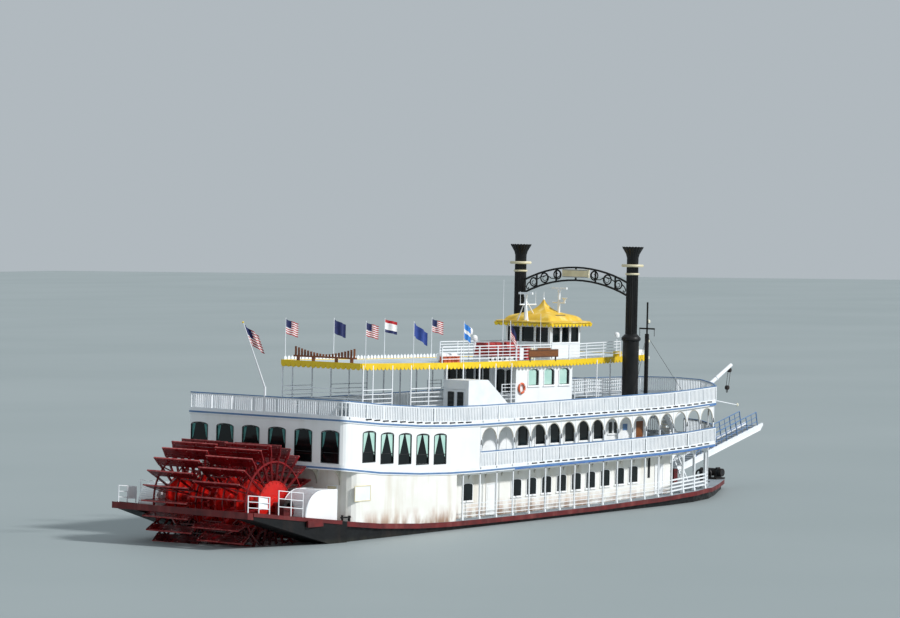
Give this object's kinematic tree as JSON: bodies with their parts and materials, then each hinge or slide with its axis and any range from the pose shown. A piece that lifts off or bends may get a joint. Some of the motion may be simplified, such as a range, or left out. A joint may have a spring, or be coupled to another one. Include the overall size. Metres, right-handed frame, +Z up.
{
  "type": "stern-wheel paddle steamer, half-size model",
  "caption": "Excursion river steamer with a red stern paddle wheel, three arcaded decks, pilot house, tall stacks and a hinged landing stage.",
  "frame": {"origin": "centre of the bounding box at the flat bottom of the hull", "axes": "+X towards the bow, +Y to port, +Z up; afloat, the water lies at z = 0.9 m"},
  "size_m": [30.897, 6.16, 9.7399],
  "materials": {
    "white_paint": "satin white, weathered",
    "black_hull_paint": "satin black, scuffed",
    "black_stack_paint": "satin black",
    "red_guard_paint": "dull red-brown",
    "wheel_red_paint": "gloss crimson, wet and stained",
    "deck_paint": "matt blue-grey",
    "yellow_paint": "satin yellow",
    "grey_paint": "satin grey",
    "bare_steel": "rough",
    "pipe_brass": "dull",
    "scanner_plastic": "smooth"
  },
  "bodies": {
    "boat": {"hull": "black_hull_paint", "main_deck": "red_guard_paint", "stern_girder_starboard": "black_hull_paint", "stern_girder_port": "black_hull_paint", "aft_cross_beam": "red_guard_paint", "drive_casing_starboard": "white_paint", "drive_casing_port": "white_paint", "generator_block": "bare_steel", "main_house_wall_starboard": "white_paint", "main_house_wall_port": "white_paint", "main_house_wall_aft": "white_paint", "main_house_wall_fore": "white_paint", "promenade_deck": "deck_paint", "saloon_wall_starboard": "white_paint", "saloon_wall_port": "white_paint", "saloon_wall_aft": "white_paint", "saloon_wall_fore": "white_paint", "hurricane_deck": "deck_paint", "fore_stair": "white_paint", "colonnade_starboard": "white_paint", "colonnade_port": "white_paint", "arcade_starboard": "white_paint", "arcade_port": "white_paint", "promenade_rail_starboard": "white_paint", "promenade_rail_port": "white_paint", "hurricane_rail_starboard": "white_paint", "hurricane_rail_port": "white_paint", "hurricane_rail_stern": "white_paint", "stair_house": "grey_paint", "texas_trunk": "white_paint", "texas_wall_starboard": "white_paint", "texas_wall_port": "white_paint", "texas_wall_aft": "white_paint", "texas_wall_fore": "white_paint", "boat_deck": "yellow_paint", "canopy_frame_starboard": "white_paint", "canopy_frame_port": "white_paint", "pilot_house_wall_starboard": "white_paint", "pilot_house_wall_port": "white_paint", "pilot_house_wall_aft": "white_paint", "pilot_house_wall_fore": "white_paint", "pilot_house_roof": "yellow_paint", "smoke_stack_starboard": "black_stack_paint", "smoke_stack_port": "black_stack_paint", "stack_arch": "black_stack_paint", "signal_mast": "black_stack_paint", "windlass": "black_stack_paint", "calliope": "pipe_brass"},
    "paddle_wheel": {"paddle_wheel_starboard": "wheel_red_paint", "paddle_wheel_port": "wheel_red_paint", "paddle_wheel_shaft": "wheel_red_paint"},
    "rudder_starboard": {"rudder_starboard": "black_hull_paint"},
    "rudder_port": {"rudder_port": "black_hull_paint"},
    "saloon_door": {"saloon_door": "white_paint"},
    "stair_house_leaf_inner": {"stair_house_leaf_inner": "grey_paint"},
    "stair_house_leaf_outer": {"stair_house_leaf_outer": "grey_paint"},
    "boom": {"boom": "white_paint"},
    "landing_stage": {"landing_stage": "white_paint"},
    "radar_scanner_fore": {"radar_scanner_fore": "scanner_plastic"},
    "radar_scanner_aft": {"radar_scanner_aft": "scanner_plastic"}
  },
  "joints": [
    {"name": "paddle_wheel_turn", "type": "hinge", "parent": "boat", "child": "paddle_wheel", "pos_m": [-13.2985, 0, 2.045], "axis": [0, 1, 0], "continuous": true},
    {"name": "rudder_starboard_turn", "type": "hinge", "parent": "boat", "child": "rudder_starboard", "pos_m": [-10.7485, -1.2, 0.55], "axis": [0, 0, 1], "range_deg": [-35, 35]},
    {"name": "rudder_port_turn", "type": "hinge", "parent": "boat", "child": "rudder_port", "pos_m": [-10.7485, 1.2, 0.55], "axis": [0, 0, 1], "range_deg": [-35, 35]},
    {"name": "saloon_door_swing", "type": "hinge", "parent": "boat", "child": "saloon_door", "pos_m": [4.9515, 0.225, 3.4], "axis": [0, 0, 1], "range_deg": [0, 100]},
    {"name": "stair_house_leaf_inner_swing", "type": "hinge", "parent": "boat", "child": "stair_house_leaf_inner", "pos_m": [-5.0485, -1.7525, 4.75], "axis": [0, 0, -1], "range_deg": [0, 100]},
    {"name": "stair_house_leaf_outer_swing", "type": "hinge", "parent": "boat", "child": "stair_house_leaf_outer", "pos_m": [-5.0485, -2.4725, 4.75], "axis": [0, 0, 1], "range_deg": [0, 100]},
    {"name": "boom_luff", "type": "hinge", "parent": "boat", "child": "boom", "pos_m": [9.9015, 0, 3.67], "axis": [0, 1, 0], "range_deg": [-30, 10]},
    {"name": "landing_stage_lift", "type": "hinge", "parent": "boat", "child": "landing_stage", "pos_m": [9.7515, 0, 1.975], "axis": [0, 1, 0], "range_deg": [-12, 9]},
    {"name": "radar_scanner_fore_turn", "type": "hinge", "parent": "boat", "child": "radar_scanner_fore", "pos_m": [2.6765, -0.425, 8.25], "axis": [0, 0, 1], "continuous": true},
    {"name": "radar_scanner_aft_turn", "type": "hinge", "parent": "boat", "child": "radar_scanner_aft", "pos_m": [1.4765, 0.05, 8.075], "axis": [0, 0, 1], "continuous": true}
  ],
  "couplings": [
    {"joint": "rudder_port_turn", "follows": "rudder_starboard_turn", "ratio": 1}
  ]
}
